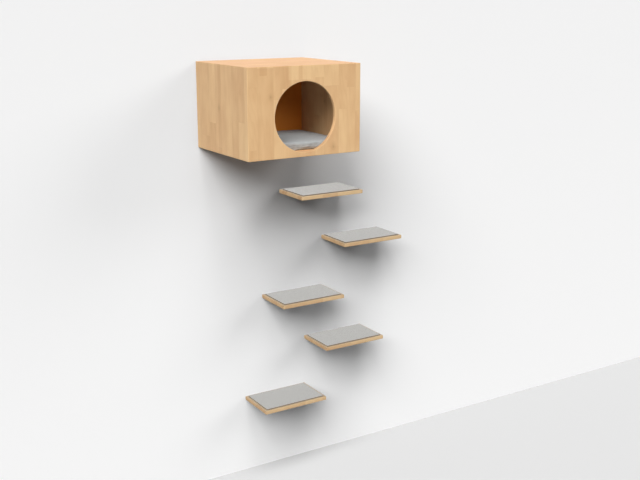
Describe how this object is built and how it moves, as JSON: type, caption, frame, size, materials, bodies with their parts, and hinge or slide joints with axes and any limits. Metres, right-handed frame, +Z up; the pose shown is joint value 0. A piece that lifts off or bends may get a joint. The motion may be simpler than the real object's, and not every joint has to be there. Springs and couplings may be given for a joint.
{
  "type": "cat climbing wall",
  "caption": "Wall-hung beech cat house with a round entrance, an orange back and a loose cushion, above floating felt-topped steps on concealed brackets.",
  "frame": {"origin": "on the wall's plane, at the middle of the wall rail's row of screw holes", "axes": "+Z up, +Y into the wall, +X to the right as seen from the room"},
  "size_m": [1.028, 0.5, 1.716],
  "materials": {
    "beech": "glued beech staves, fine sanded, clear satin lacquer",
    "biscuit_wood": "pressed beech, uncoated",
    "orange_board": "wood fibre board with a satin orange laminate",
    "felt": "grey wool felt, 5 mm",
    "cushion_fabric": "grey melange woven cover over foam",
    "rail_aluminium": "mill finish extrusion, lightly brushed",
    "bracket_steel": "bright zinc plate over rolled steel",
    "zinc_screw": "zinc-plated steel"
  },
  "bodies": {
    "root": {"house_top": "beech", "house_floor": "beech", "house_left": "beech", "house_right": "beech", "house_front": "beech", "house_back": "orange_board", "corner_biscuits": "biscuit_wood", "back_screws": "zinc_screw", "house_rail": "rail_aluminium", "house_rail_screws": "zinc_screw", "wall_rail": "rail_aluminium", "step_1_board": "beech", "step_1_pad": "felt", "step_1_bracket": "bracket_steel", "step_2_board": "beech", "step_2_pad": "felt", "step_2_bracket": "bracket_steel", "step_3_board": "beech", "step_3_pad": "felt", "step_3_bracket": "bracket_steel", "step_4_board": "beech", "step_4_pad": "felt", "step_4_bracket": "bracket_steel", "step_5_board": "beech", "step_5_pad": "felt", "step_5_bracket": "bracket_steel", "step_lock_screws": "zinc_screw"},
    "cushion": {"cushion": "cushion_fabric"}
  },
  "joints": [
    {"name": "cushion_slide", "type": "slide", "parent": "root", "child": "cushion", "axis": [0, -1, 0], "range_m": [0, 0.038]}
  ]
}
